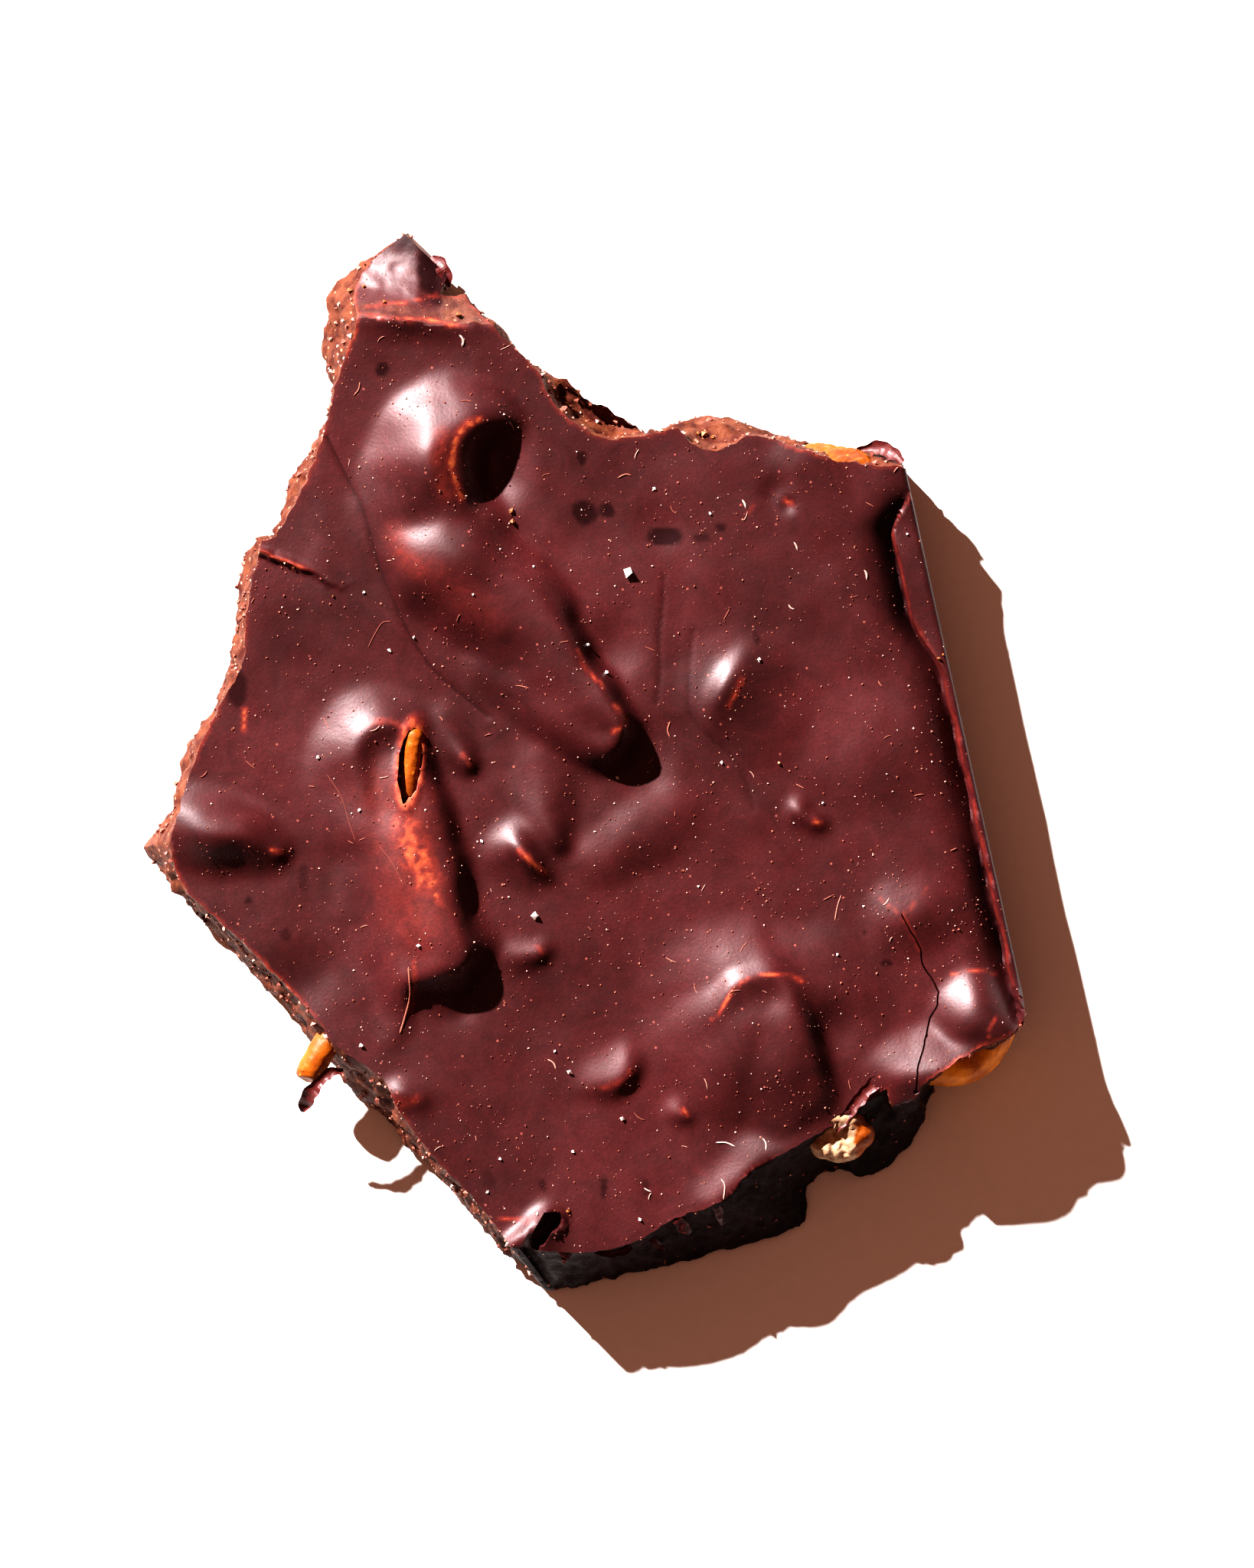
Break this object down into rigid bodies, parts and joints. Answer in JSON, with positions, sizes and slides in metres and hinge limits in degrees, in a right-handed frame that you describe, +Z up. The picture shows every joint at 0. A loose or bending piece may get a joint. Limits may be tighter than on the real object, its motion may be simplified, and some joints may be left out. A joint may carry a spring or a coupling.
{
  "type": "broken piece of pretzel dark chocolate bar",
  "caption": "Broken slab of dark chocolate with pretzel pieces lumped under its poured face and showing at its edges, one edge still moulded.",
  "frame": {"origin": "centre of the bounding box, on the flat moulded face that the piece lies on", "axes": "+Z up out of the poured, lumpy face; +Y towards the broken tip; +X towards the straight moulded edge"},
  "size_m": [0.0668, 0.0804, 0.0099],
  "materials": {
    "dark_chocolate": "satin dark chocolate, duller where it is broken",
    "pretzel_crust": "baked golden brown crust with a pale crumb inside"
  },
  "bodies": {
    "root": {"slab": "dark_chocolate", "pretzel_corner": "pretzel_crust", "pretzel_front": "pretzel_crust", "pretzel_upper": "pretzel_crust", "pretzel_side": "pretzel_crust", "pretzel_ridge": "pretzel_crust"}
  },
  "joints": []
}
